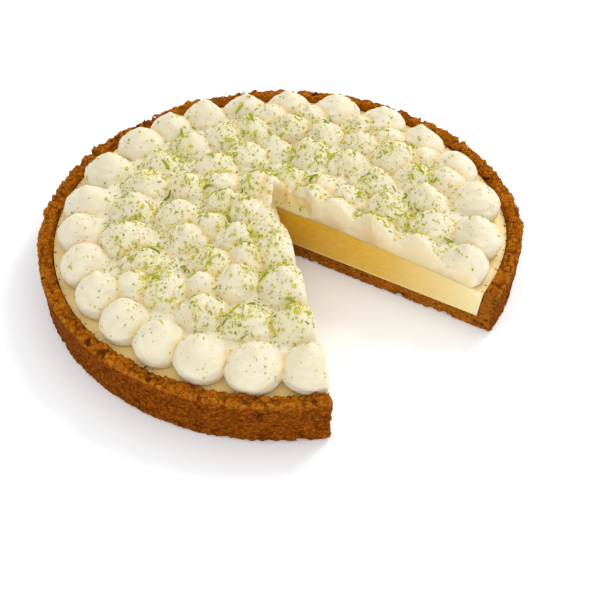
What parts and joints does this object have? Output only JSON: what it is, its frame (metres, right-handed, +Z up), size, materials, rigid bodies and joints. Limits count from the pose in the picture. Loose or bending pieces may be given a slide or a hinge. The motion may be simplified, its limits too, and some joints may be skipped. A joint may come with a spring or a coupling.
{
  "type": "lemon tart",
  "caption": "Round lemon tart with a slice taken out: a crumbly crust shell filled with lemon curd and topped with piped cream dollops and lime zest.",
  "frame": {"origin": "middle of the flat underside, where the tart rests", "axes": "+Z up through the tart, -Y towards the side that the missing slice opens to, +X to the right of it"},
  "size_m": [0.2398, 0.2403, 0.0468],
  "materials": {
    "baked_crust": "baked shortcrust, matte and crumbly",
    "lemon_curd": "set lemon curd, smooth with a soft shine",
    "piped_cream": "piped cream, soft satin, with green zest"
  },
  "bodies": {
    "root": {"crust": "baked_crust", "lemon_curd": "lemon_curd", "cream": "piped_cream"}
  },
  "joints": []
}
